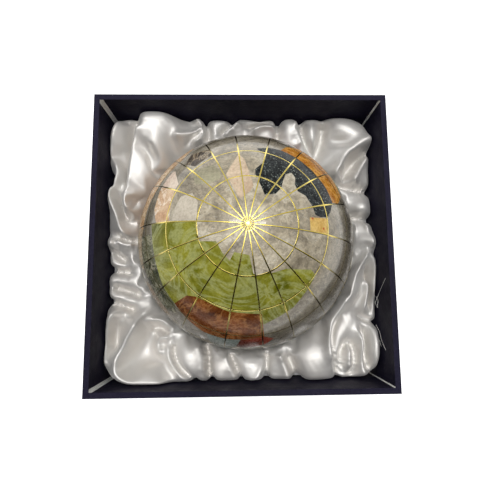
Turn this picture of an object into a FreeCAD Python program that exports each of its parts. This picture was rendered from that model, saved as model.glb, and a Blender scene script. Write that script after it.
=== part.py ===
import FreeCAD, Part
import math
import os

# A gemstone desk globe resting in its satin-lined presentation box.
# Millimetres, +Z up. The origin is the centre of the box's underside.
# Angles on the globe are in degrees: the first is counter-clockwise from +X,
# seen from above the pole, and the second is the colatitude, from the pole.

# --- driving dimensions: the box ---
box_side = 106.0
box_height = 60.0
board = 1.6
paper = 0.2
turn_in_depth = 18.0
corner_slits = [1.0, 0.35, 0.5, 1.2]  # front left, front right, back right, back left

# --- driving dimensions: the nest ---
riser_card = 1.0
riser_length = 88.0
nest_card = 1.2
nest_height = 34.2
nest_hole_radius = 40.7
wadding_top = 40.8
wadding_hole_radius = 42.2
satin_top = 46.0
satin_bottom = 41.0
satin_thickness = 1.3
satin_gap = 0.4
seat_pad_radius = 24.0
layer_gap = 0.1

# --- driving dimensions: the globe ---
globe_radius = 40.0
globe_x = 1.5
globe_y = 0.5
globe_z = 45.0
veneer = 1.5
foot_plane = 35.0
felt_thickness = 1.0
felt_radius = 17.0
wire_width = 0.4
pole_button_radius = 1.5
smallest_stone = 0.4

# The wires are laid by hand, so the spacing of the meridians wanders.
meridians = [-5, 17, 37, 56, 76, 96, 114, 133, 151, 175, 195, 213, 234, 258, 278, 295, 315, 334]
parallels = [22, 38.5, 56, 73, 90, 107, 124, 141.5]
ocean_names = ["ocean_arctic_cap", "ocean_north_polar", "ocean_north_cool", "ocean_north_warm",
               "ocean_north_tropic", "ocean_south_tropic", "ocean_south_warm", "ocean_south_cool",
               "ocean_antarctic"]

# The land stones, each an outline of (angle, colatitude) corners in order.
lands = {
    "inlay_russia": [(175, 22), (175, 50), (188, 49), (201, 50), (214, 53), (224, 54), (227, 43.5),
                     (232, 40.5), (239, 39.3), (256, 40), (279, 41), (279, 48), (287, 46), (300, 44),
                     (312, 41), (325, 39), (326, 35), (311, 25), (296, 23), (283, 22), (276, 21),
                     (272, 13), (244, 13), (243, 17), (228, 16), (208, 15), (198, 22)],
    "inlay_mongolia_china": [(224, 54), (227, 43.5), (232, 40.5), (239, 39.3), (256, 40),
                             (279, 41), (279, 58), (258, 61), (246, 61), (236, 58)],
    "inlay_south_china": [(247, 61), (258, 61), (266, 60), (264, 69), (260, 82), (253, 79)],
    "inlay_japan": [(266, 60), (279, 58), (284, 62), (279, 68), (268, 72), (264, 69)],
    "inlay_central_asia": [(181, 49.7), (188, 49), (201, 50), (214, 53), (224, 54), (228, 60),
                           (222, 66), (207, 66), (194, 65), (181, 62)],
    "inlay_india": [(207, 66), (222, 66), (226, 69), (219, 76), (213, 84), (208, 77), (203, 70)],
    "inlay_middle_east": [(177, 60), (181, 62), (194, 65), (198, 66), (195, 72), (182, 79),
                          (174, 70)],
    "inlay_europe": [(150, 40), (175, 37), (175, 46), (166, 50), (152, 52)],
    "inlay_west_europe": [(146, 40), (150, 40), (152, 52), (140, 52), (139, 50)],
    "inlay_scandinavia": [(154, 24), (166, 22.5), (174, 22), (174, 35), (165, 35), (154, 34),
                          (148, 29)],
    "inlay_british_isles": [(133, 26), (140, 31), (133, 38), (118, 34), (115, 28), (120, 24)],
    "inlay_iberia": [(132, 47), (125, 53), (113, 47), (115, 41), (129, 40)],
    "inlay_africa": [(177, 60), (174, 70), (182, 80), (177, 93), (171, 108), (160, 124),
                     (152, 124), (147, 107), (144, 90), (130, 85), (118, 76), (121, 63),
                     (130, 55), (150, 56), (165, 59)],
    "inlay_greenland": [(96, 36), (112, 25), (111, 19), (107, 11), (86, 14), (81, 17), (88, 24),
                        (92, 32)],
    "inlay_canada": [(83, 41), (76, 37), (76, 31), (82, 26), (81, 23), (76, 20), (69, 17),
                     (60, 14.5), (54, 16), (48, 18), (48, 22), (52, 26), (54, 30), (51, 33),
                     (46, 32), (42, 29), (35, 27.5), (28, 30), (17, 31), (10, 31.5), (8, 34),
                     (8, 39), (12, 42), (18, 46), (27, 46.5), (42, 46), (56, 46), (67, 45.5),
                     (75, 44)],
    "inlay_usa": [(67, 45.5), (56, 46), (42, 46), (27, 46.5), (18, 46), (17, 51), (22, 60),
                  (34, 65), (48, 66), (58, 63), (65, 53)],
    "inlay_alaska": [(8, 28), (7, 39), (-5, 39), (-6, 28)],
    "inlay_central_america": [(24, 61), (34, 65), (44, 66), (47, 74), (57, 81), (55, 84),
                              (44, 78), (33, 72)],
    "inlay_south_america": [(57, 80), (72, 80), (85, 90), (100, 96), (96, 112), (84, 122),
                            (76, 130), (68, 144), (62, 142), (64, 120), (62, 106), (54, 96)],
    "inlay_australia": [(249, 112), (258, 105), (268, 102), (277, 101), (288, 116), (285, 128),
                        (273, 126), (262, 123), (250, 124)],
}

# --- derived sizes ---
half = box_side / 2
board_out = half - paper
board_in = board_out - board
liner_in = board_in - paper
base_top = paper + board
floor_top = base_top + paper
board_top = box_height - paper
turn_in_bottom = box_height - turn_in_depth
core_radius = globe_radius - veneer
foot_z = globe_z - foot_plane
groove = math.degrees(wire_width / 2 / globe_radius)
button_colatitude = math.degrees(math.asin(pole_button_radius / core_radius))
globe_centre = FreeCAD.Vector(globe_x, globe_y, globe_z)
globe_axis = FreeCAD.Vector(0, 0, 1)


def save(name, shape):
    shape.exportStep("parts/" + name + ".step")


def block(x0, x1, y0, y1, z0, z1):
    return Part.makeBox(x1 - x0, y1 - y0, z1 - z0, FreeCAD.Vector(x0, y0, z0))


def slab(reach, z0, z1):
    return block(-reach, reach, -reach, reach, z0, z1)


def globe_cylinder(radius, z0, z1):
    return Part.makeCylinder(radius, z1 - z0, FreeCAD.Vector(globe_x, globe_y, z0))


def turned(shape, quarter_turns):
    copy = shape.copy()
    copy.rotate(FreeCAD.Vector(0, 0, 0), FreeCAD.Vector(0, 0, 1), 90 * quarter_turns)
    return copy


def on_globe(angle, colatitude, radius):
    """A point at a radius from the globe's centre."""
    a = math.radians(angle)
    c = math.radians(colatitude)
    out = FreeCAD.Vector(math.sin(c) * math.cos(a), math.sin(c) * math.sin(a), math.cos(c))
    return globe_centre + out * radius


def arc(radius, start, end, angle=0):
    """An arc of a meridian between two colatitudes."""
    points = [on_globe(angle, c, radius) for c in (start, (start + end) / 2, end)]
    return Part.Arc(*points).toShape()


# --- the box ---
def make_base():
    save("base_cover", slab(half, 0, paper))
    save("base_board", slab(board_out, paper, base_top))
    save("base_liner", slab(board_in, base_top, floor_top))


def make_walls():
    long_wall = block(-board_out, board_out, -board_out, -board_in, base_top, board_top)
    short_wall = block(-board_in, board_in, -board_out, -board_in, base_top, board_top)
    save("wall_board_front", long_wall)
    save("wall_board_right", turned(short_wall, 1))
    save("wall_board_back", turned(long_wall, 2))
    save("wall_board_left", turned(short_wall, 3))


def flap(side, bottom, top):
    """Paper on the inside of the front wall, ending at each corner by that corner's slit."""
    left, right = corner_slits[side], corner_slits[(side + 1) % 4]
    return block(left - liner_in, liner_in - right, -board_in, -liner_in, bottom, top)


def make_side_wrap():
    """One sheet round the outside, folded over the rim and down inside as four flaps."""
    sides = slab(half, paper, box_height).cut(slab(board_out, 0, box_height))
    rim = slab(half, board_top, box_height).cut(slab(liner_in, board_top, box_height))
    flaps = [turned(flap(q, turn_in_bottom, box_height), q) for q in range(4)]
    wrap = sides.fuse([rim] + flaps)
    save("side_wrap", wrap.removeSplitter())


def make_wall_liners():
    for q, side in enumerate(("front", "right", "back", "left")):
        save("wall_liner_" + side, turned(flap(q, floor_top, turn_in_bottom), q))


def make_corner_stays():
    """White paper strips that hold the corners; a sliver of each shows between the flaps."""
    inner = block(-liner_in, 0, -liner_in, 0, 0, box_height)
    for q, corner in enumerate(("front_left", "front_right", "back_right", "back_left")):
        end = -board_in + corner_slits[q] + paper
        outer = block(-board_in, end, -board_in, end, floor_top, board_top)
        save("corner_stay_" + corner, turned(outer.cut(inner), q))


# --- the nest ---
def make_nest_card():
    card = slab(liner_in - paper, nest_height - nest_card, nest_height)
    save("nest_board", card.cut(globe_cylinder(nest_hole_radius, 0, box_height)))
    outer = liner_in - paper
    riser = block(-riser_length / 2, riser_length / 2, -outer, -outer + riser_card,
                  floor_top, nest_height - nest_card)
    for q, side in enumerate(("front", "right", "back", "left")):
        save("nest_riser_" + side, turned(riser, q))


def make_wadding():
    ring = slab(liner_in - paper, nest_height, wadding_top)
    save("wadding_ring", ring.cut(globe_cylinder(wadding_hole_radius, 0, box_height)))


def make_satin():
    """The gathered satin: a puffed square round the globe and the bowl that lines the well."""
    inner = globe_radius + satin_gap
    outer = inner + satin_thickness
    bowl_floor = foot_z - felt_thickness - satin_gap
    below = slab(box_side, bowl_floor - satin_thickness, satin_bottom)
    bowl = Part.makeSphere(outer, globe_centre).common(below)
    puff = slab(liner_in - paper, satin_bottom, satin_top)
    cavity_zone = slab(box_side, bowl_floor, globe_z)
    cavity = Part.makeSphere(inner, globe_centre).common(cavity_zone)
    shaft = globe_cylinder(inner, globe_z, box_height)
    save("satin_lining", puff.fuse(bowl).cut(cavity.fuse(shaft)).removeSplitter())


def make_seat_pad():
    pad_top = foot_z - felt_thickness - satin_gap - satin_thickness - layer_gap
    save("seat_pad", globe_cylinder(seat_pad_radius, floor_top, pad_top))


# --- the globe ---
def make_core():
    ball = Part.makeSphere(core_radius, globe_centre)
    save("core_ball", ball.common(slab(box_side, foot_z, box_height * 2)))
    save("felt_foot", globe_cylinder(felt_radius, foot_z - felt_thickness, foot_z))


def band(start, end):
    """A ring of the stone veneer between two colatitudes, ground flat at the foot."""
    outer = arc(globe_radius, start, end)
    inner = arc(core_radius, start, end)
    sides = [Part.makeLine(on_globe(0, c, core_radius), on_globe(0, c, globe_radius))
             for c in (start, end)]
    face = Part.Face(Part.Wire(Part.__sortEdges__([outer, sides[1], inner, sides[0]])))
    ring = face.revolve(globe_centre, globe_axis, 360)
    if globe_z + globe_radius * math.cos(math.radians(end)) < foot_z:
        ring = ring.common(slab(box_side, foot_z, box_height * 2))
    return ring


def meridian_strip(angle, start, end, inner_radius, outer_radius):
    """A flat strip standing on edge along a meridian, as wide as the wire."""
    edges = [arc(outer_radius, start, end, angle), arc(inner_radius, start, end, angle)]
    edges += [Part.makeLine(on_globe(angle, c, inner_radius), on_globe(angle, c, outer_radius))
              for c in (start, end)]
    face = Part.Face(Part.Wire(Part.__sortEdges__(edges)))
    across = FreeCAD.Vector(-math.sin(math.radians(angle)), math.cos(math.radians(angle)), 0)
    face.translate(across * (-wire_width / 2))
    return face.extrude(across * wire_width)


def make_wires():
    """Eighteen meridian wires, and parallels laid as short lengths between them."""
    foot_colatitude = math.degrees(math.acos(-foot_plane / core_radius))
    foot_side = slab(box_side, foot_z, box_height * 2)
    wires = []
    for angle in meridians:
        wire = meridian_strip(angle, button_colatitude, foot_colatitude, core_radius, globe_radius)
        wires.append(wire.common(foot_side).Solids[0])
    save("meridian_wires", Part.makeCompound(wires))
    cutters = wire_cutters()
    lengths = []
    for colatitude in parallels:
        lengths += band(colatitude - groove, colatitude + groove).cut(cutters).Solids
    save("parallel_wires", Part.makeCompound(lengths))
    button = Part.makeCylinder(pole_button_radius, veneer + 1, globe_centre)
    button.translate(FreeCAD.Vector(0, 0, core_radius - 1))
    shell = Part.makeSphere(globe_radius, globe_centre).cut(Part.makeSphere(core_radius, globe_centre))
    save("pole_button", button.common(shell))


def wire_cutters():
    reach = [core_radius - 1, globe_radius + 1]
    return [meridian_strip(a, button_colatitude - groove, 170, *reach) for a in meridians]


def gnomonic(outline):
    """The outline on a flat chart where great circles are straight, centred on the outline."""
    points = [on_globe(a, c, 1) - globe_centre for a, c in outline]
    middle = FreeCAD.Vector(0, 0, 0)
    for point in points:
        middle += point
    middle.normalize()
    across = middle.cross(FreeCAD.Vector(0, 0, 1)).normalize()
    up = across.cross(middle)
    return [(p.dot(across) / p.dot(middle), p.dot(up) / p.dot(middle)) for p in points]


def area_of(a, b, c):
    return (b[0] - a[0]) * (c[1] - a[1]) - (c[0] - a[0]) * (b[1] - a[1])


def inside(point, a, b, c):
    return min(area_of(a, b, point), area_of(b, c, point), area_of(c, a, point)) >= 0


def triangles_of(chart):
    """Clips ears off a polygon until only triangles are left."""
    turn = sum(a[0] * b[1] - b[0] * a[1] for a, b in zip(chart, chart[1:] + chart[:1]))
    left = list(range(len(chart)))
    if turn < 0:
        left.reverse()
    triangles = []
    while len(left) > 3:
        for i, corner in enumerate(left):
            trio = [left[i - 1], corner, left[(i + 1) % len(left)]]
            a, b, c = [chart[k] for k in trio]
            others = [chart[k] for k in left if k not in trio]
            if area_of(a, b, c) > 0 and not any(inside(p, a, b, c) for p in others):
                triangles.append(trio)
                left.remove(corner)
                break
    return triangles + [left]


def land_prism(outline):
    """A solid cone from the globe's centre out through a land's outline."""
    tips = [on_globe(a, c, globe_radius * 2) for a, c in outline]
    loops = [[tips[i] for i in trio] for trio in triangles_of(gnomonic(outline))]
    loops += [[globe_centre, a, b] for a, b in zip(tips, tips[1:] + tips[:1])]
    faces = [Part.Face(Part.makePolygon(loop + [loop[0]])) for loop in loops]
    solid = Part.Solid(Part.Shell(faces))
    return solid if solid.Volume > 0 else solid.reversed()


def stones_in(shape):
    """The stones of a cut, without crumbs, which are filled with glue."""
    return [stone for stone in shape.Solids if stone.Volume > smallest_stone]


def make_stones():
    """Every space between the wires is filled by one stone, or by land and ocean stones."""
    cutters = wire_cutters()
    prisms = {name: land_prism(outline) for name, outline in lands.items()}
    pieces = {name: [] for name in lands}
    foot_colatitude = math.degrees(math.acos(-foot_plane / core_radius))
    edges = [button_colatitude] + parallels + [foot_colatitude]
    for i, name in enumerate(ocean_names):
        start = edges[i] + (groove if i else 0)
        end = edges[i + 1] - (groove if i < len(parallels) else 0)
        ocean = []
        for cell in band(start, end).cut(cutters).Solids:
            near = []
            for land, prism in prisms.items():
                shared = stones_in(cell.common(prism))
                if shared:
                    pieces[land] += shared
                    near.append(prism)
            ocean += stones_in(cell.cut(near)) if near else [cell]
        save(name, Part.makeCompound(ocean))
    for land, stones in pieces.items():
        save(land, Part.makeCompound(stones))


os.makedirs("parts", exist_ok=True)
make_base()
make_walls()
make_side_wrap()
make_wall_liners()
make_corner_stays()
make_nest_card()
make_wadding()
make_satin()
make_seat_pad()
make_core()
make_wires()
make_stones()
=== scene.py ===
"""An inlaid-stone desk globe in its satin-lined presentation box."""

import math

import bmesh
import bpy
import numpy as np
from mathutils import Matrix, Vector


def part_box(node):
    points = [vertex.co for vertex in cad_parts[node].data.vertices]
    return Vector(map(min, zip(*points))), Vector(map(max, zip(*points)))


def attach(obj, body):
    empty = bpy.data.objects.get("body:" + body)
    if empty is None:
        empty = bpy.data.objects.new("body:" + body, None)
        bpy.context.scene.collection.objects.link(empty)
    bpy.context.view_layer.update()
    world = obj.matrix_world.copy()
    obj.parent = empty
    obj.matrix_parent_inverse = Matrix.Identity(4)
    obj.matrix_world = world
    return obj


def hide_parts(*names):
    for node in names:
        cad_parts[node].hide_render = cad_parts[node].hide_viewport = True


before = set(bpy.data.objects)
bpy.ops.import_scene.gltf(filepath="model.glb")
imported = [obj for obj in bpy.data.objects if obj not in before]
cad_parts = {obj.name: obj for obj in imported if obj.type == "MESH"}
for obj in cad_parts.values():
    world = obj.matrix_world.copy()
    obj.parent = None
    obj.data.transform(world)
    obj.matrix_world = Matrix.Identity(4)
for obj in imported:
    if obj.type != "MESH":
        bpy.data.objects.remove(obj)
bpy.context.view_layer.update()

MM = 0.001

# --- places read from the frame ---
rim_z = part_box("side_wrap")[1].z
wall_x = -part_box("wall_liner_left")[1].x
ball_low, ball_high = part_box("ocean_south_tropic")
ball_x = (ball_low.x + ball_high.x) / 2
ball_y = (ball_low.y + ball_high.y) / 2
pole_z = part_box("pole_button")[1].z
ball_radius = (ball_high.x - ball_low.x) / 2
ball = Vector((ball_x, ball_y, pole_z - ball_radius))

# --- small driving sizes ---
veneer = 1.5 * MM  # how thick the stones and wires are
satin_gap = 0.4  # millimetres between the ball and the satin


# --- small helpers for meshes ---
def mesh_piece(name, vertices, faces, body):
    mesh = bpy.data.meshes.new(name)
    mesh.from_pydata(vertices, [], faces)
    mesh.validate()
    mesh.update()
    piece = bpy.data.objects.new(name, mesh)
    bpy.context.scene.collection.objects.link(piece)
    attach(piece, body)
    return piece


# --- small helpers for materials ---
class Nodes:
    """Short calls for building one material's node tree."""

    def __init__(self, name):
        self.material = bpy.data.materials.new(name)
        self.material.use_nodes = True
        self.tree = self.material.node_tree
        self.shader = self.tree.nodes["Principled BSDF"]
        self.place = self.add("ShaderNodeTexCoord").outputs["Object"]

    def add(self, kind, **settings):
        node = self.tree.nodes.new(kind)
        for key, value in settings.items():
            setattr(node, key, value)
        return node

    def link(self, output, target):
        self.tree.links.new(output, target)

    def noise(self, scale, detail=4.0, rough=0.55, distort=0.0, place=None):
        node = self.add("ShaderNodeTexNoise")
        node.inputs["Scale"].default_value = scale
        node.inputs["Detail"].default_value = detail
        node.inputs["Roughness"].default_value = rough
        node.inputs["Distortion"].default_value = distort
        self.link(place or self.place, node.inputs["Vector"])
        return node.outputs["Fac"]

    def cells(self, scale):
        node = self.add("ShaderNodeTexVoronoi")
        node.inputs["Scale"].default_value = scale
        self.link(self.place, node.inputs["Vector"])
        return node.outputs["Distance"]

    def ramp(self, value, *stops):
        node = self.add("ShaderNodeValToRGB")
        band = node.color_ramp
        while len(band.elements) < len(stops):
            band.elements.new(0.5)
        for element, (at, colour) in zip(band.elements, stops):
            element.position = at
            element.color = (*colour, 1)
        self.link(value, node.inputs["Fac"])
        return node.outputs["Color"]

    def mix(self, amount, a, b, blend="MIX"):
        node = self.add("ShaderNodeMix", data_type="RGBA", blend_type=blend)
        for socket, value in ((node.inputs[0], amount), (node.inputs[6], a), (node.inputs[7], b)):
            if isinstance(value, bpy.types.NodeSocket):
                self.link(value, socket)
            elif isinstance(value, (int, float)):
                socket.default_value = value
            else:
                socket.default_value = (*value, 1)
        return node.outputs[2]

    def maths(self, operation, a, b=0.0):
        node = self.add("ShaderNodeMath", operation=operation)
        for socket, value in zip(node.inputs, (a, b)):
            if isinstance(value, bpy.types.NodeSocket):
                self.link(value, socket)
            else:
                socket.default_value = value
        return node.outputs[0]

    def stretched(self, x, y, z):
        node = self.add("ShaderNodeMapping")
        node.inputs["Scale"].default_value = (x, y, z)
        self.link(self.place, node.inputs["Vector"])
        return node.outputs["Vector"]

    def by_height(self, tone, low_z, high_z, share):
        """Darkens a tone to a share of itself below low_z, and leaves it alone above high_z."""
        parts = self.add("ShaderNodeSeparateXYZ")
        self.link(self.place, parts.inputs["Vector"])
        reach = self.add("ShaderNodeMapRange")
        reach.inputs["From Min"].default_value = low_z
        reach.inputs["From Max"].default_value = high_z
        reach.inputs["To Min"].default_value = share
        reach.inputs["To Max"].default_value = 1.0
        self.link(parts.outputs["Z"], reach.inputs["Value"])
        return self.mix(1.0, tone, reach.outputs["Result"], "MULTIPLY")

    def bump(self, height, distance, strength=1.0):
        node = self.add("ShaderNodeBump")
        node.inputs["Distance"].default_value = distance
        node.inputs["Strength"].default_value = strength
        self.link(height, node.inputs["Height"])
        self.link(node.outputs["Normal"], self.shader.inputs["Normal"])

    def colour(self, output):
        self.link(output, self.shader.inputs["Base Color"])

    def roughness(self, output):
        self.link(output, self.shader.inputs["Roughness"])


# --- materials: stones ---
def stone(name, light, dark, scale=120, detail=6, low=0.35, high=0.65, vein=None,
          vein_scale=90, vein_width=0.04, vein_share=1.0, speck=None, speck_scale=900,
          speck_share=0.25, grain=0.12, glow=0.1):
    """A polished stone: cloudy colour, optional pale veins and specks, under a clear polish."""
    m = Nodes(name)
    cloud = m.noise(scale, detail, 0.6, 0.8)
    tone = m.ramp(cloud, (low, dark), (high, light))
    if vein:
        ridge = m.noise(vein_scale, 5, 0.6, 1.5)
        line = m.maths("ABSOLUTE", m.maths("SUBTRACT", ridge, 0.5))
        tone = m.mix(m.ramp(line, (0.0, (vein_share,) * 3), (vein_width, (0, 0, 0))), tone, vein)
    if speck:
        dots = m.cells(speck_scale)
        soft_edge = 0.12
        tone = m.mix(m.ramp(dots, (speck_share, (1, 1, 1)), (speck_share + soft_edge, (0, 0, 0))),
                     tone, speck)
    fine = m.noise(1400, 3, 0.6)
    tone = m.mix(grain, tone, m.ramp(fine, (0.35, (0, 0, 0)), (0.65, (1, 1, 1))), "OVERLAY")
    m.colour(tone)
    rough = 0.28
    m.roughness(m.ramp(fine, (0.3, (rough * 0.8,) * 3), (0.7, (rough * 1.2,) * 3)))
    m.shader.inputs["Subsurface Weight"].default_value = glow
    m.shader.inputs["Subsurface Scale"].default_value = 0.002
    m.shader.inputs["Subsurface Radius"].default_value = (1.0, 0.9, 0.7)
    m.shader.inputs["Specular IOR Level"].default_value = 0.1
    m.shader.inputs["Coat Weight"].default_value = 0.14
    m.shader.inputs["Coat Roughness"].default_value = 0.05
    return m.material


def ocean_stone():
    """Grey-brown translucent calcite: clouds, crystal grain and pale glints, with painted shade that
    darkens it lower down.
    """
    m = Nodes("ocean_stone")
    cloud = m.noise(90, 8, 0.68, 0.8)
    tone = m.ramp(cloud, (0.34, (0.17, 0.145, 0.105)), (0.5, (0.35, 0.305, 0.225)),
                  (0.68, (0.56, 0.51, 0.41)))
    crystal = m.noise(620, 6, 0.75, 1.2)
    facets = m.ramp(crystal, (0.36, (0.16, 0.15, 0.13)), (0.64, (0.86, 0.85, 0.82)))
    tone = m.mix(0.55, tone, facets, "OVERLAY")
    streak = m.noise(240, 7, 0.8, 2.5, m.stretched(1, 1.8, 1))
    glint = m.ramp(streak, (0.56, (0, 0, 0)), (0.66, (1, 1, 1)))
    tone = m.mix(m.maths("MULTIPLY", glint, 0.5), tone, (0.72, 0.69, 0.62))
    # painted shade: the stone's colour darkens towards the bottom of the globe, where less light falls
    m.colour(m.by_height(tone, 66 * MM, 84.5 * MM, 0.36))
    height = m.maths("ADD", m.noise(420, 3, 0.6), m.maths("MULTIPLY", crystal, 0.6))
    m.bump(height, 0.00012, 0.35)
    m.roughness(m.ramp(streak, (0.4, (0.34,) * 3), (0.7, (0.2,) * 3)))
    m.shader.inputs["Subsurface Weight"].default_value = 0.2
    m.shader.inputs["Subsurface Scale"].default_value = 0.003
    m.shader.inputs["Subsurface Radius"].default_value = (1.0, 0.95, 0.85)
    m.shader.inputs["Specular IOR Level"].default_value = 0.3
    m.shader.inputs["Coat Weight"].default_value = 0.5
    m.shader.inputs["Coat Roughness"].default_value = 0.06
    return m.material


STONES = {
    "russia": dict(light=(0.27, 0.26, 0.035), dark=(0.075, 0.08, 0.001), scale=75, detail=8,
                   low=0.38, high=0.68, vein=(0.36, 0.38, 0.17), vein_scale=80,
                   vein_width=0.07, vein_share=0.5, glow=0.05),
    "mongolia_china": dict(light=(0.19, 0.052, 0.005), dark=(0.045, 0.010, 0.001), scale=110,
                           vein=(0.34, 0.15, 0.05), vein_width=0.05, vein_share=0.6,
                           glow=0.03),
    "south_china": dict(light=(0.30, 0.33, 0.30), dark=(0.17, 0.20, 0.18)),
    "japan": dict(light=(0.26, 0.05, 0.025), dark=(0.10, 0.02, 0.01)),
    "central_asia": dict(light=(0.12, 0.12, 0.07), dark=(0.022, 0.026, 0.015), scale=150,
                         vein=(0.32, 0.30, 0.22), vein_scale=120, vein_width=0.03),
    "india": dict(light=(0.30, 0.22, 0.14), dark=(0.15, 0.09, 0.05)),
    "middle_east": dict(light=(0.46, 0.37, 0.25), dark=(0.26, 0.18, 0.10)),
    "europe": dict(light=(0.56, 0.42, 0.28), dark=(0.40, 0.23, 0.12), scale=150,
                   vein=(0.66, 0.56, 0.44)),
    "west_europe": dict(light=(0.62, 0.54, 0.44), dark=(0.50, 0.38, 0.30)),
    "scandinavia": dict(light=(0.52, 0.47, 0.38), dark=(0.40, 0.35, 0.28), scale=50),
    "british_isles": dict(light=(0.33, 0.31, 0.21), dark=(0.24, 0.22, 0.15)),
    "iberia": dict(light=(0.09, 0.065, 0.045), dark=(0.015, 0.014, 0.012), scale=220,
                   vein=(0.30, 0.24, 0.16)),
    "africa": dict(light=(0.46, 0.27, 0.12), dark=(0.28, 0.15, 0.06), scale=90,
                   vein=(0.55, 0.42, 0.26)),
    "greenland": dict(light=(0.54, 0.43, 0.31), dark=(0.38, 0.28, 0.19), scale=140,
                      speck=(0.45, 0.28, 0.20), speck_scale=700, speck_share=0.10),
    "canada": dict(light=(0.030, 0.034, 0.034), dark=(0.003, 0.004, 0.004), scale=260,
                   speck=(0.17, 0.19, 0.17), speck_scale=1300, speck_share=0.16, grain=0.3,
                   glow=0.0),
    "usa": dict(light=(0.52, 0.22, 0.02), dark=(0.28, 0.10, 0.008), scale=120,
                vein=(0.70, 0.42, 0.12), vein_share=0.6, speck=(0.30, 0.07, 0.02), speck_scale=330,
                speck_share=0.10),
    "alaska": dict(light=(0.60, 0.42, 0.15), dark=(0.46, 0.27, 0.06), scale=160,
                   speck=(0.45, 0.09, 0.03), speck_scale=420, speck_share=0.10),
    "central_america": dict(light=(0.20, 0.30, 0.14), dark=(0.09, 0.16, 0.06)),
    "south_america": dict(light=(0.40, 0.10, 0.05), dark=(0.22, 0.045, 0.025),
                          vein=(0.55, 0.30, 0.2)),
    "australia": dict(light=(0.56, 0.47, 0.35), dark=(0.40, 0.30, 0.2)),
}


def brass():
    """Brass wire, bright on the globe's cap and darker lower down: painted shade in the colour, for the
    dark room that the lower wires reflect.
    """
    m = Nodes("brass_wire")
    tint = m.noise(300, 3)
    tone = m.ramp(tint, (0.3, (0.84, 0.66, 0.15)), (0.7, (0.95, 0.80, 0.28)))
    # painted shade: below the cap the brass colour drops to a small share of itself, standing in for
    # the dark reflection of the room's front
    m.colour(m.by_height(tone, 72.5 * MM, 75.5 * MM, 0.14))
    m.roughness(m.ramp(m.noise(900, 2), (0.3, (0.16,) * 3), (0.7, (0.26,) * 3)))
    m.shader.inputs["Metallic"].default_value = 1.0
    return m.material


# --- the globe: stones and wires ground to one smooth ball ---
def ground_smooth(node, name, material, proud=0.0, crown=0.0):
    """Replaces a CAD node by the same solids with a fine, exactly spherical outer face.

    A crown leans the shading of the outer face towards its sides, as on a worn wire.
    While it works, material_index marks each face: 1 outer, 2 inner, 0 side.
    """
    longest = 1.3 * MM
    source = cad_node(node)
    bm = bmesh.new()
    bm.from_mesh(source.data)
    bmesh.ops.remove_doubles(bm, verts=bm.verts, dist=1e-7)
    tolerance = 0.05 * MM
    outer = ball_radius - tolerance
    inner = ball_radius - veneer + tolerance
    for face in bm.faces:
        depths = [(v.co - ball).length for v in face.verts]
        if min(depths) > outer:
            face.material_index = 1
        elif max(depths) < inner and face.normal.dot((face.calc_center_median() - ball)) < 0:
            face.material_index = 2
        else:
            face.material_index = 0
    for _ in range(8):
        long_edges = [e for e in bm.edges if e.calc_length() > longest]
        if not long_edges:
            break
        bmesh.ops.subdivide_edges(bm, edges=long_edges, cuts=1)
        bmesh.ops.triangulate(bm, faces=[f for f in bm.faces if len(f.verts) > 3])
    for vertex in bm.verts:
        kinds = {f.material_index for f in vertex.link_faces}
        offset = vertex.co - ball
        if 1 in kinds:
            vertex.co = ball + offset.normalized() * (ball_radius + proud)
        elif 2 in kinds:
            vertex.co = ball + offset.normalized() * (ball_radius - veneer)
    outer_faces = [f.material_index == 1 for f in bm.faces]
    leans = []
    for vertex in bm.verts:
        lean = Vector()
        for face in vertex.link_faces:
            if crown and face.material_index == 0:
                lean += face.normal
        leans.append(lean.normalized() * crown if lean.length > 0 else lean)
    for face in bm.faces:
        face.material_index = 0
        face.smooth = True
    mesh = bpy.data.meshes.new(name)
    bm.to_mesh(mesh)
    bm.free()
    normals = []
    for polygon, is_outer in zip(mesh.polygons, outer_faces):
        for loop in polygon.loop_indices:
            index = mesh.loops[loop].vertex_index
            upright = (mesh.vertices[index].co - ball).normalized()
            normals.append((upright + leans[index]).normalized() if is_outer else polygon.normal)
    mesh.normals_split_custom_set(normals)
    piece = bpy.data.objects.new(name, mesh)
    bpy.context.scene.collection.objects.link(piece)
    mesh.materials.append(material)
    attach(piece, "globe")
    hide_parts(node)
    return piece


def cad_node(name):
    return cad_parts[name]


def make_globe():
    ocean = ocean_stone()
    metal = brass()
    for node in sorted(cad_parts):
        if node.startswith("ocean_"):
            ground_smooth(node, "stones_" + node, ocean)
        elif node.startswith("inlay_"):
            land = node.removeprefix("inlay_")
            slot = land + "_stone"
            ground_smooth(node, "stones_" + land, stone(slot, **STONES[land]))
    for node in ("meridian_wires", "parallel_wires"):
        ground_smooth(node, "polished_" + node, metal, proud=0.02 * MM, crown=0.35)
    ground_smooth("pole_button", "pole_stone", ocean)
    make_pole_star(metal)


# Where the meridian wires lie, in degrees from +X.
MERIDIANS = [-5, 17, 37, 56, 76, 96, 114, 133, 151, 175, 195, 213, 234, 258, 278, 295, 315, 334]


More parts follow.
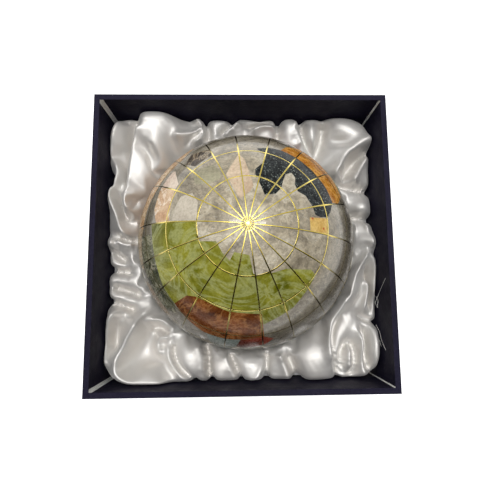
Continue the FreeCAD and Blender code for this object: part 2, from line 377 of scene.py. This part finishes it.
def make_pole_star(metal):
    """The meridian wires' thin ends, which taper to a point over the pole."""
    overlap = 1.15
    reach = (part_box("pole_button")[1].x - ball_x) * overlap
    root_width = 0.4 * MM
    tip_width = 0.3 * MM
    dot_radius = 0.7 * MM
    vertices = []
    faces = []
    for meridian in MERIDIANS:
        along = Vector((math.cos(math.radians(meridian)), math.sin(math.radians(meridian)), 0))
        across = Vector((-along.y, along.x, 0))
        for share in (0.0, 0.35, 0.7, 1.0):
            width = tip_width + (root_width - tip_width) * share ** 1.5
            for side, lift in ((-1, -0.1), (-0.6, 0.03), (0.6, 0.03), (1, -0.1)):
                flat = along * (reach * share) + across * (side * width / 2)
                place = Vector((flat.x, flat.y, math.sqrt(ball_radius ** 2 - flat.length_squared)))
                vertices.append(ball + place * (1 + lift * MM / ball_radius))
        first = len(vertices) - 16
        faces += [(first + r + c, first + r + c + 1, first + r + c + 5, first + r + c + 4)
                  for r in (0, 4, 8) for c in range(3)]
    centre = len(vertices)
    vertices.append(ball + Vector((0, 0, ball_radius + 0.05 * MM)))
    spokes = 24
    for turn in range(spokes):
        angle = 2 * math.pi * turn / spokes
        flat = Vector((math.cos(angle), math.sin(angle), 0)) * dot_radius
        vertices.append(ball + flat + Vector((0, 0, ball_radius + 0.02 * MM)))
        faces.append((centre, centre + 1 + turn, centre + 1 + (turn + 1) % spokes))
    piece = mesh_piece("pole_star", vertices, faces, "globe")
    smooth(piece)
    piece.data.materials.append(metal)
    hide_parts("pole_button")


# --- the satin: gathered folds round the globe, and the bowl that lines the well ---
# Each fold is how far it rises (a crease sinks), how wide it is to each side, and the line that
# it follows, in millimetres from the middle of the box. Left side first, then clockwise.
FOLDS = [
    # left side, from the back to the front
    (2.0, 1.8, [(-47, 49), (-49, 44), (-50.5, 37), (-50.5, 33)]),
    (-2.4, 1.0, [(-40, 52), (-41.5, 46), (-42.5, 40), (-43.5, 34), (-44, 28), (-44, 22)]),
    (3.2, 1.6, [(-37, 46), (-39.3, 42), (-41, 37), (-42, 30), (-42.5, 22), (-43, 15), (-41.5, 12),
                (-39, 14)]),
    (2.4, 1.2, [(-50.5, 33), (-47.5, 31), (-47, 27), (-48, 23), (-49.5, 19), (-48.5, 15),
                (-46, 10), (-44.5, 5), (-42, 1)]),
    (-1.6, 1.1, [(-49, 29), (-50, 25), (-51.5, 22)]),
    (0.9, 0.8, [(-44.5, 30), (-45, 23), (-45.5, 17)]),
    (-1.6, 0.9, [(-46, 19), (-46, 14), (-43.5, 9)]),
    (1.4, 0.9, [(-47, 1.5), (-44, -0.5), (-41, -0.5)]),
    (-1.6, 0.7, [(-46, 3), (-43, 1.5), (-40, 1.5)]),
    (-1.5, 0.8, [(-50, -1.5), (-47, -4.5), (-44, -6.5)]),
    (-2.0, 0.9, [(-53, -9), (-48, -10), (-42, -10.5)]),
    (-1.6, 0.9, [(-49, -16), (-44, -17.5), (-38, -19.5)]),
    (-1.9, 0.9, [(-53, -21.5), (-47, -22.5), (-40, -25)]),
    # front left corner
    (2.3, 1.2, [(-44.5, -24.5), (-47.5, -26), (-49, -30), (-50.5, -35), (-50.5, -40),
                (-49, -43.5), (-46, -41.5), (-44, -38.5)]),
    (-1.6, 1.6, [(-47, -29), (-47.5, -34), (-47.5, -39)]),
    (3.4, 1.4, [(-36.5, -26), (-39.5, -31), (-42, -36), (-44.5, -41.5), (-45, -45.5),
                (-42.5, -48), (-37, -49.5), (-31, -49.5), (-25, -50.5)]),
    (1.2, 0.9, [(-37, -29.5), (-34, -28), (-30, -28.5), (-27, -31.5)]),
    (-1.6, 0.9, [(-35, -31.5), (-31, -31), (-28, -34)]),
    (1.8, 1.1, [(-30, -41), (-32, -38), (-31, -35), (-27, -34)]),
    (1.4, 1.0, [(-27, -37), (-27.5, -41), (-25.5, -45), (-22, -48), (-18, -50)]),
    # front
    (-2.2, 0.8, [(-25.5, -37), (-25.5, -41), (-23.5, -45), (-19.5, -48.5), (-17, -52)]),
    (1.2, 0.9, [(-18, -37), (-15, -39), (-14.3, -43), (-14.5, -47), (-13, -51)]),
    (-2.4, 0.8, [(-14, -37), (-12.7, -42), (-12.8, -47), (-11, -52)]),
    (1.2, 0.9, [(-6.5, -41), (-4.5, -45), (-2.5, -50)]),
    (-1.9, 0.7, [(-5, -41), (-2.5, -46), (0, -52)]),
    (1.2, 0.9, [(7.5, -41.5), (7, -45), (5.5, -48.5), (2, -50.5)]),
    (-2.2, 0.8, [(9, -41), (8.5, -46), (8.5, -52)]),
    (1.5, 0.9, [(13, -41), (15, -45), (16.5, -50)]),
    (-3.0, 1.1, [(17, -42), (18.5, -46), (20, -49.5), (22.5, -52)]),
    # front right corner
    (2.9, 1.1, [(47, -2), (46.5, -6), (44, -10), (41.5, -15), (39.5, -20.5), (35.5, -26.5),
                (32.5, -31), (31.3, -36), (31.3, -41), (32.5, -46)]),
    (-1.9, 0.7, [(37, -27), (34, -31.5), (33, -36), (33, -41), (34.5, -46), (35.5, -52)]),
    (0.9, 0.7, [(34.5, -42), (36, -46), (38.5, -49)]),
    (-1.6, 0.7, [(39.5, -36.5), (37, -40), (36, -43.5), (36.7, -47), (39, -49.5)]),
    (-1.6, 0.7, [(39.5, -36.5), (41.5, -40), (42, -44), (41, -48), (39, -49.5)]),
    (1.5, 0.9, [(39.3, -39), (39, -43), (39, -47)]),
    (1.6, 1.0, [(42.5, -33), (44.3, -37), (43.5, -42), (43.8, -46), (45, -50)]),
    (-1.6, 0.7, [(44, -32), (46, -37), (45.2, -42), (46, -46), (48, -49)]),
    # right side, from the front to the back
    (1.6, 1.0, [(47, -3), (49.3, -8), (50, -14), (49.5, -21)]),
    (-1.6, 0.8, [(46, -7), (47.5, -12), (48, -19), (48, -25)]),
    (1.7, 1.1, [(45, -14), (45, -19), (44.5, -26)]),
    (-1.5, 0.8, [(43, -27), (46, -28.5), (52, -32)]),
    (-1.8, 0.9, [(41, 10.5), (46, 10), (53, 9)]),
    (1.2, 1.0, [(47.5, 8), (48.3, 3), (48, -2)]),
    (-2.0, 0.9, [(37, 24), (44, 21.8), (53, 20.5)]),
    # back right corner
    (2.9, 1.5, [(52, 40.5), (46, 39), (40.5, 34.5), (36.5, 28.5), (36, 24)]),
    (-1.8, 1.0, [(50, 36.5), (46, 34), (42, 29.5), (40, 25)]),
    (1.5, 1.0, [(50, 35), (47, 30.5), (44.5, 26), (43.5, 23.5)]),
    (-2.3, 1.3, [(33, 49), (32.5, 43), (30, 36), (27, 31)]),
    # back, from the right to the left
    (-2.0, 0.9, [(23, 52), (24, 46), (25.5, 40.5), (29, 35)]),
    (1.2, 0.9, [(21.5, 49), (22.5, 44), (24, 39)]),
    (-2.2, 0.8, [(15, 52), (14.6, 46), (14.6, 41)]),
    (1.4, 0.9, [(4, 44.5), (9, 46.5), (13.3, 45.5)]),
    (-1.2, 0.8, [(2, 47), (7, 48.5), (12, 48)]),
    (1.4, 0.9, [(-7, 42.5), (-4, 45.5), (0, 48)]),
    (-1.7, 0.8, [(-8.5, 44), (-5, 47.5), (-2, 52)]),
    (1.8, 1.0, [(-18, 50), (-15.2, 45.5), (-15.7, 41.5), (-20, 39.2)]),
    (-1.9, 0.9, [(-15.5, 52), (-13, 46), (-13.5, 40)]),
    (1.6, 1.2, [(-27, 41.5), (-22, 42.5), (-18, 43.5), (-16.5, 46)]),
]
# Rounded lobes and hollows: middle, half length, half width, turn in degrees, rise.
LOBES = [
    (-33.5, 49, 9, 7, -14, 3.2),
    (-35, -38, 8, 6, 50, -2.2),
    (-19.5, -43, 5.5, 7.5, 0, 2.4),
    (-8.5, -46.5, 4.2, 5, 0, 1.4),
    (2.5, -46.5, 5.5, 5, 0, 1.4),
    (26, -44, 7.5, 8, 0, 2.0),
    (48.5, -40, 2.6, 8, 0, 1.8),
    (46, 13.5, 3.2, 3.4, 0, 1.6),
    (49.5, 0, 2.4, 3.5, 0, 1.5),
    (-49.5, 0, 2.4, 3, 0, 1.6),
    (42, 45, 9, 4.5, -20, 1.6),
    (43, 32, 5, 5, 0, -1.0),
    (28, 43, 3.2, 6, 0, 1.0),
    (19, 46, 3.5, 4.5, 0, 1.0),
    (-46.5, 42, 3, 5, 0, 1.0),
]


def rounded(line):
    """The line with its corners cut twice, as a soft fold would run."""
    line = np.array(line, float)
    for _ in range(2):
        cut = [line[0]]
        for a, b in zip(line[:-1], line[1:]):
            cut += [a * 0.75 + b * 0.25, a * 0.25 + b * 0.75]
        line = np.array(cut + [line[-1]])
    return line


def along_line(x, y, line):
    """Each point's distance from the line, and how far along the line it is, from 0 to 1."""
    steps = np.diff(line, axis=0)
    lengths = np.hypot(*steps.T)
    starts = np.concatenate([[0], np.cumsum(lengths)[:-1]])
    best = np.full(x.shape, 1e9)
    share = np.zeros(x.shape)
    for (ax, ay), (dx, dy), length, start in zip(line, steps, lengths, starts):
        t = np.clip(((x - ax) * dx + (y - ay) * dy) / length ** 2, 0, 1)
        distance = np.hypot(x - ax - t * dx, y - ay - t * dy)
        nearer = distance < best
        best = np.where(nearer, distance, best)
        share = np.where(nearer, (start + t * length) / lengths.sum(), share)
    return best, share


def ease(t):
    t = np.clip(t, 0, 1)
    return t * t * (3 - 2 * t)


def quarter_round(t):
    """Rises from 0 at t = 0, upright at first, to 1 at t = 1, as a quarter circle does."""
    return np.sqrt(1 - (1 - np.clip(t, 0, 1)) ** 2)


def fold_heights(x, y):
    """How far the folds and lobes lift the satin at each place, in millimetres."""
    crest = np.zeros(x.shape)
    trough = np.zeros(x.shape)
    for rise, width, line in FOLDS:
        distance, share = along_line(x, y, rounded(line))
        fade = ease(share / 0.12) * ease((1 - share) / 0.12)
        rounding = 0.4 if rise > 0 else 0.08
        soft = np.sqrt((distance / width) ** 2 + rounding) - math.sqrt(rounding)
        shape = np.exp(-soft) * (0.35 + 0.65 * fade)
        if rise > 0:
            crest += (rise * shape) ** 3
        else:
            trough += (-rise * shape) ** 3
    crease_gain = 1.35
    heights = np.cbrt(crest) - crease_gain * np.cbrt(trough)
    for cx, cy, half_x, half_y, turn, rise in LOBES:
        c, s = math.cos(math.radians(turn)), math.sin(math.radians(turn))
        u = ((x - cx) * c + (y - cy) * s) / half_x
        v = (-(x - cx) * s + (y - cy) * c) / half_y
        heights += rise * np.exp(-(u ** 2 + v ** 2) ** 1.4)
    return heights


def satin_ring(turns, rows):
    """Rows of points from the walls in to the globe, and how firmly the cloth is held there."""
    angle = np.arange(turns) * 2 * math.pi / turns
    ux, uy = np.cos(angle), np.sin(angle)
    centre_x, centre_y = ball_x / MM, ball_y / MM
    wall = abs(wall_x) / MM - 0.3
    corner = 14.0  # the power that squares the circle
    reach = (np.abs(ux / (wall - np.sign(ux) * centre_x)) ** corner
             + np.abs(uy / (wall - np.sign(uy) * centre_y)) ** corner) ** (-1 / corner)
    at_wall = fold_heights(centre_x + reach * ux, centre_y + reach * uy)
    deepest_tuck = 1.8
    reach = reach - np.clip(-at_wall, 0, deepest_tuck)
    inner = ball_radius / MM + satin_gap
    base_z = 41.0
    lowest_z = 40.5
    puff = 4.8
    fold_gain = 2.1
    points = []
    held = []
    for share in np.linspace(0, 1, rows):
        r = reach + (inner - reach) * share
        x, y = centre_x + r * ux, centre_y + r * uy
        shoulder = quarter_round((reach - r) / 2.2)
        lip_width = np.clip(0.35 * (reach - inner), 3.5, 9)
        lip = quarter_round((r - inner + 0.4) / lip_width)
        lift = fold_heights(x, y)
        z = base_z + (puff + fold_gain * lift) * shoulder * (0.15 + 0.85 * lip)
        points.append(np.column_stack([x, y, np.maximum(z, lowest_z)]))
        held.append(np.ones(turns) if share in (0, 1) else np.clip(-lift / 1.6, 0, 1))
    return np.array(points), np.array(held)


def grid_faces(rows, turns):
    """Quads between neighbouring rows, closed into a ring."""
    faces = []
    for row in range(rows - 1):
        for turn in range(turns):
            a = row * turns + turn
            b = row * turns + (turn + 1) % turns
            faces.append((a, b, b + turns, a + turns))
    return faces


def swell(points, held):
    """Cloth simulation: the satin has 5% to spare and swells between the creases that hold it."""
    enlarged = 20.0
    frames = 20
    rows, turns, _ = points.shape
    mesh = bpy.data.meshes.new("cloth")
    mesh.from_pydata((points.reshape(-1, 3) * MM * enlarged).tolist(), [], grid_faces(rows, turns))
    piece = bpy.data.objects.new("cloth", mesh)
    bpy.context.scene.collection.objects.link(piece)
    group = piece.vertex_groups.new(name="held")
    tenths = np.round(held.reshape(-1) * 10).astype(int)
    for tenth in range(11):
        group.add(np.nonzero(tenths == tenth)[0].tolist(), tenth / 10, "REPLACE")
    cloth = piece.modifiers.new("cloth", "CLOTH")
    settings = cloth.settings
    settings.quality = 5
    settings.mass = 0.3
    settings.tension_stiffness = 15
    settings.compression_stiffness = 15
    settings.shear_stiffness = 4.5
    settings.bending_stiffness = 20
    settings.tension_damping = 10
    settings.compression_damping = 10
    settings.shear_damping = 10
    settings.bending_damping = 2
    settings.air_damping = 3
    settings.vertex_group_mass = "held"
    settings.pin_stiffness = 1.0
    settings.shrink_min = -0.05
    settings.use_pressure = True
    settings.uniform_pressure_force = 8
    settings.effector_weights.gravity = 0
    cloth.collision_settings.use_collision = False
    cloth.collision_settings.use_self_collision = False
    cloth.point_cache.frame_start = 1
    cloth.point_cache.frame_end = frames
    for step in range(1, frames + 1):
        bpy.context.scene.frame_set(step)
    result = piece.evaluated_get(bpy.context.evaluated_depsgraph_get())
    places = np.empty(rows * turns * 3)
    result.data.vertices.foreach_get("co", places)
    bpy.data.objects.remove(piece)
    bpy.context.scene.frame_set(1)
    return places.reshape(rows, turns, 3) / enlarged / MM


def kept_clear(points):
    """Keeps the cloth off the walls, and out of the globe's way as it lifts."""
    centre = np.array([ball_x, ball_y]) / MM
    wall = abs(wall_x) / MM - 0.15
    nearest = ball_radius / MM + 0.35
    lowest_z = 40.5
    highest_z = rim_z / MM - 5.0
    offset = points[..., :2] - centre
    r = np.maximum(np.linalg.norm(offset, axis=2, keepdims=True), 1e-6)
    points[..., :2] = centre + offset * np.maximum(r, nearest) / r
    points[..., :2] = np.clip(points[..., :2], -wall, wall)
    points[..., 2] = np.clip(points[..., 2], lowest_z, highest_z)
    return points


def bowl_rows(turns, top_z):
    """The satin that follows the ball down to the seat, in fine upright gathers."""
    angle = np.arange(turns) * 2 * math.pi / turns
    inner = ball_radius / MM + satin_gap
    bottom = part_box("satin_lining")[0].z / MM + 1.5
    start = np.arccos((top_z - ball.z / MM) / inner)
    end = math.acos((bottom - ball.z / MM) / inner)
    gathers = 46
    gather_depth = 0.8
    gather = 0.5 + 0.5 * np.sin(angle * gathers + 2 * np.sin(angle * 5))
    rows = []
    steps = 24
    for step in range(1, steps + 1):
        colatitude = start + (end - start) * step / steps
        spread = inner + gather_depth * gather * math.sin(math.pi * step / steps)
        height = ball.z / MM + inner * np.cos(colatitude)
        rows.append((spread * np.sin(colatitude), height))
    floor_radius = inner * math.sin(end)
    rows += [(np.full(turns, floor_radius * s), np.full(turns, bottom)) for s in (0.75, 0.45, 0.15)]
    return np.array([np.column_stack([ball_x / MM + r * np.cos(angle),
                                      ball_y / MM + r * np.sin(angle), z]) for r, z in rows])


def make_satin():
    turns = 320
    points, held = satin_ring(turns, 40)
    points = swell(points, held)
    points = kept_clear(points)
    rows = np.concatenate([points, bowl_rows(turns, points[-1, :, 2])])
    vertices = (rows.reshape(-1, 3) * MM).tolist()
    faces = grid_faces(len(rows), turns)
    centre = len(vertices)
    vertices.append((ball_x, ball_y, rows[-1, 0, 2] * MM))
    last = (len(rows) - 1) * turns
    faces += [(last + t, last + (t + 1) % turns, centre) for t in range(turns)]
    piece = mesh_piece("gathered_satin", vertices, faces, "box")
    smooth(piece)
    finer = piece.modifiers.new("finer", "SUBSURF")
    finer.levels = 1
    finer.render_levels = 1
    piece.data.materials.append(satin_cloth())
    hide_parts("satin_lining")
    threads = [make_thread("loose_thread_" + name, line) for name, line in THREADS.items()]


# Frayed ends that stand up along the right wall, in millimetres.
THREADS = {
    "long": [(49.6, -23, 47.5), (50.3, -20.5, 49), (50.6, -17.5, 52), (50.8, -14, 56.5)],
    "curl": [(49.4, -20, 48), (50.4, -21.5, 49.5), (49.6, -24, 50), (50.2, -25, 48.5),
             (49.5, -22.5, 47.8)],
    "loop": [(49.8, -31, 47), (50.5, -33.5, 49), (50.3, -36.5, 50.5), (50.7, -39.5, 53.5)],
    "short": [(49.8, -34, 47), (50.6, -37, 48), (50.4, -38.5, 50)],
}


def make_thread(name, line):
    curve = bpy.data.curves.new(name, "CURVE")
    curve.dimensions = "3D"
    curve.bevel_depth = 0.05 * MM
    curve.bevel_resolution = 2
    spline = curve.splines.new("NURBS")
    spline.points.add(len(line) - 1)
    for point, place in zip(spline.points, line):
        point.co = (*[c * MM for c in place], 1)
    spline.order_u = 3
    spline.use_endpoint_u = True
    piece = bpy.data.objects.new(name, curve)
    bpy.context.scene.collection.objects.link(piece)
    curve.materials.append(bpy.data.materials["satin"])
    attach(piece, "box")
    return piece


def smooth(piece):
    piece.data.polygons.foreach_set("use_smooth", [True] * len(piece.data.polygons))


# --- the padding under the satin ---
def make_wadding():
    """A thick soft ring of white wadding on the nest card, crowned and a little lumpy."""
    low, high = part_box("wadding_ring")
    turns = 160
    angle = np.arange(turns) * 2 * math.pi / turns
    ux, uy = np.cos(angle), np.sin(angle)
    hole = ball_radius + 2.2 * MM
    corner = 14.0
    edge = high.x - 0.1 * MM
    reach = (np.abs(ux / (edge - np.sign(ux) * ball_x)) ** corner
             + np.abs(uy / (edge - np.sign(uy) * ball_y)) ** corner) ** (-1 / corner)
    lumps = 0.3 * MM * np.sin(angle * 7 + np.sin(angle * 3))
    section = [(0.10, 0.0), (0.5, 0.0), (0.9, 0.0), (0.98, 0.12), (1.0, 0.4), (0.97, 0.75),
               (0.88, 0.92), (0.7, 0.98), (0.5, 1.0), (0.3, 0.98), (0.12, 0.92), (0.03, 0.75),
               (0.0, 0.4), (0.02, 0.12)]
    vertices = []
    for share, rise in section:
        r = hole + (reach - hole) * share
        z = low.z + (high.z - 0.3 * MM - low.z) * rise + lumps * rise
        vertices += np.column_stack([ball_x + r * ux, ball_y + r * uy, z]).tolist()
    faces = grid_faces(len(section), turns)
    last = (len(section) - 1) * turns
    faces += [(last + t, last + (t + 1) % turns, (t + 1) % turns, t) for t in range(turns)]
    piece = mesh_piece("wadding_pad", vertices, faces, "box")
    smooth(piece)
    piece.data.materials.append(fibre("wadding", (0.62, 0.62, 0.61), (0.8, 0.8, 0.79), 500, 0.9, 0.2))
    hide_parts("wadding_ring")


def make_seat_pad():
    """A disc of foam under the satin floor, with rounded edges."""
    low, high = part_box("seat_pad")
    turns = 96
    radius = (high.x - low.x) / 2
    height = high.z - low.z
    section = [(0.05, 0.0), (0.6, 0.0), (0.95, 0.0), (0.99, 0.1), (1.0, 0.35), (0.99, 0.7),
               (0.95, 0.92), (0.85, 0.99), (0.5, 1.0), (0.05, 1.0)]
    vertices = []
    for share, rise in section:
        for turn in range(turns):
            angle = 2 * math.pi * turn / turns
            vertices.append((ball_x + radius * share * math.cos(angle),
                             ball_y + radius * share * math.sin(angle), low.z + height * rise))
    faces = grid_faces(len(section), turns)
    faces.append(tuple(reversed(range(turns))))
    last = (len(section) - 1) * turns
    faces.append(tuple(range(last, last + turns)))
    piece = mesh_piece("foam_seat_pad", vertices, faces, "box")
    smooth(piece)
    piece.data.materials.append(fibre("foam", (0.55, 0.53, 0.47), (0.74, 0.72, 0.66), 1800, 0.9, 0.1))
    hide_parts("seat_pad")


def satin_cloth():
    """Warm white satin: a broad metallic gloss, a little sheen and a fine weave."""
    m = Nodes("satin")
    cloud = m.noise(60, 3)
    m.colour(m.ramp(cloud, (0.35, (0.72, 0.69, 0.65)), (0.65, (0.78, 0.76, 0.725))))
    weave = m.noise(5200, 2, 0.5, 0.0, m.stretched(1, 0.25, 1))
    m.bump(weave, 0.00002, 0.25)
    m.roughness(m.ramp(weave, (0.3, (0.42,) * 3), (0.7, (0.52,) * 3)))
    m.shader.inputs["Metallic"].default_value = 0.6
    m.shader.inputs["Specular IOR Level"].default_value = 0.8
    m.shader.inputs["Sheen Weight"].default_value = 0.2
    m.shader.inputs["Sheen Roughness"].default_value = 0.4
    return m.material


# --- the box's own materials ---
def leatherette():
    """Dark navy book cloth: a fine pebble grain, a little lighter where it is rubbed."""
    m = Nodes("leatherette")
    grain = m.cells(1800)
    cloud = m.noise(45, 4)
    base = m.ramp(cloud, (0.35, (0.006, 0.005, 0.013)), (0.7, (0.010, 0.009, 0.021)))
    m.colour(m.mix(0.2, base, m.ramp(grain, (0.1, (0.001, 0.001, 0.003)), (0.6, (0.026, 0.022, 0.044))),
                   "ADD"))
    m.bump(m.maths("ADD", grain, m.noise(1500, 3)), 0.00012, 0.6)
    m.roughness(m.ramp(m.noise(300, 3), (0.3, (0.50,) * 3), (0.7, (0.62,) * 3)))
    m.shader.inputs["Specular IOR Level"].default_value = 0.12
    return m.material


def fibre(name, dark, light, scale, rough, bump_mm):
    """Paper, board, felt, foam or wadding: a cloudy matt colour with a fibrous surface."""
    m = Nodes(name)
    strands = m.noise(scale, 6, 0.65, 1.0)
    m.colour(m.ramp(strands, (0.3, dark), (0.7, light)))
    m.bump(strands, bump_mm * MM, 0.6)
    m.roughness(m.ramp(m.noise(scale * 2, 2), (0.3, (rough - 0.05,) * 3), (0.7, (rough + 0.05,) * 3)))
    return m.material


def dress(material, *nodes):
    """Gives CAD nodes that keep their shape a better material."""
    for node in nodes:
        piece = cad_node(node)
        for slot in piece.material_slots:
            slot.material = material


def make_box_finishes():
    sides = ("front", "back", "left", "right")
    cloth = leatherette()
    dress(cloth, "side_wrap", "base_cover", *["wall_liner_" + s for s in sides])
    paper = fibre("white_paper", (0.76, 0.76, 0.73), (0.88, 0.88, 0.85), 900, 0.75, 0.02)
    stays = [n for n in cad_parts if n.startswith("corner_stay_")]
    dress(paper, "base_liner", *stays)
    board = fibre("greyboard", (0.16, 0.145, 0.12), (0.34, 0.31, 0.27), 700, 0.85, 0.03)
    dress(board, "base_board", "nest_board", *["wall_board_" + s for s in sides],
          *["nest_riser_" + s for s in sides])
    dress(fibre("plaster_core", (0.60, 0.57, 0.50), (0.74, 0.72, 0.66), 400, 0.8, 0.03), "core_ball")
    dress(fibre("felt", (0.010, 0.012, 0.011), (0.035, 0.04, 0.036), 2200, 0.95, 0.15), "felt_foot")
    for node in ("side_wrap", "base_cover"):
        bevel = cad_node(node).modifiers.new("soft edges", "BEVEL")
        bevel.width = 0.35 * MM
        bevel.segments = 3
        bevel.limit_method = "ANGLE"
        bevel.angle_limit = math.radians(40)
        bevel.harden_normals = True


# --- stage ---
def make_stage():
    size = 4.0
    floor = bpy.data.meshes.new("floor")
    floor.from_pydata([(-size, -size, 0), (size, -size, 0), (size, size, 0), (-size, size, 0)],
                      [], [(0, 1, 2, 3)])
    plane = bpy.data.objects.new("floor", floor)
    bpy.context.scene.collection.objects.link(plane)
    m = Nodes("floor")
    m.colour(m.ramp(m.noise(6), (0.3, (0.93, 0.93, 0.93)), (0.7, (0.95, 0.95, 0.95))))
    m.shader.inputs["Roughness"].default_value = 0.9
    m.shader.inputs["Emission Color"].default_value = (1, 1, 1, 1)
    m.shader.inputs["Emission Strength"].default_value = 0.6
    floor.materials.append(m.material)


def lamp(name, place, aim, width, height, power):
    light = bpy.data.lights.new(name, "AREA")
    light.shape = "RECTANGLE"
    light.size = width
    light.size_y = height
    light.energy = power
    holder = bpy.data.objects.new(name, light)
    bpy.context.scene.collection.objects.link(holder)
    holder.location = place
    holder.rotation_euler = (Vector(aim) - Vector(place)).to_track_quat("-Z", "Y").to_euler()
    return holder


def make_lights():
    """A room bright above and behind, and dark in front, with two soft lamps and a light strip."""
    world = bpy.data.worlds.new("studio")
    world.use_nodes = True
    tree = world.node_tree
    background = tree.nodes["Background"]
    direction = tree.nodes.new("ShaderNodeTexCoord").outputs["Generated"]

    def glow(towards, *stops):
        facing = tree.nodes.new("ShaderNodeVectorMath")
        facing.operation = "DOT_PRODUCT"
        facing.inputs[1].default_value = Vector(towards).normalized()
        tree.links.new(direction, facing.inputs[0])
        ramp = tree.nodes.new("ShaderNodeValToRGB")
        ramp.color_ramp.interpolation = "EASE"
        while len(ramp.color_ramp.elements) < len(stops):
            ramp.color_ramp.elements.new(0.5)
        for element, (at, grey) in zip(ramp.color_ramp.elements, stops):
            element.position = at
            element.color = (grey, grey, grey, 1)
        tree.links.new(facing.outputs["Value"], ramp.inputs["Fac"])
        return ramp.outputs["Color"]

    both = tree.nodes.new("ShaderNodeVectorMath")
    both.operation = "ADD"
    tree.links.new(glow((0.0, 0.95, 0.30), (0.0, 0.01), (0.14, 0.25), (0.6, 0.30), (1.0, 0.27)),
                   both.inputs[0])
    tree.links.new(glow((0.0, 0.14, 1.0), (0.87, 0.0), (0.94, 0.8)), both.inputs[1])
    tree.links.new(both.outputs["Vector"], background.inputs["Color"])
    background.inputs["Strength"].default_value = 2.0
    bpy.context.scene.world = world
    bpy.context.scene.view_settings.view_transform = "Standard"
    centre = (0, 0, 0.045)
    for light in (lamp("key", (-0.50, 0.45, 0.40), centre, 0.3, 0.3, 0.8),
                  lamp("top", (-0.03, -0.03, 0.75), centre, 0.25, 0.25, 2.4)):
        light.visible_glossy = False
    lamp("strip", (0.01, 0.12, 0.60), centre, 0.34, 0.02, 0.35)


def make_camera():
    camera = bpy.data.cameras.new("camera")
    camera.sensor_width = 36.0
    camera.lens = 28.37
    camera.clip_start = 0.01
    holder = bpy.data.objects.new("camera", camera)
    bpy.context.scene.collection.objects.link(holder)
    holder.location = (-0.8 * MM, -20.8 * MM, rim_z + 135.5 * MM)
    holder.rotation_euler = [math.radians(a) for a in (7.05, -1.38, -0.59)]
    bpy.context.scene.camera = holder


make_satin()
make_globe()
make_wadding()
make_seat_pad()
make_box_finishes()
make_stage()
make_lights()
make_camera()
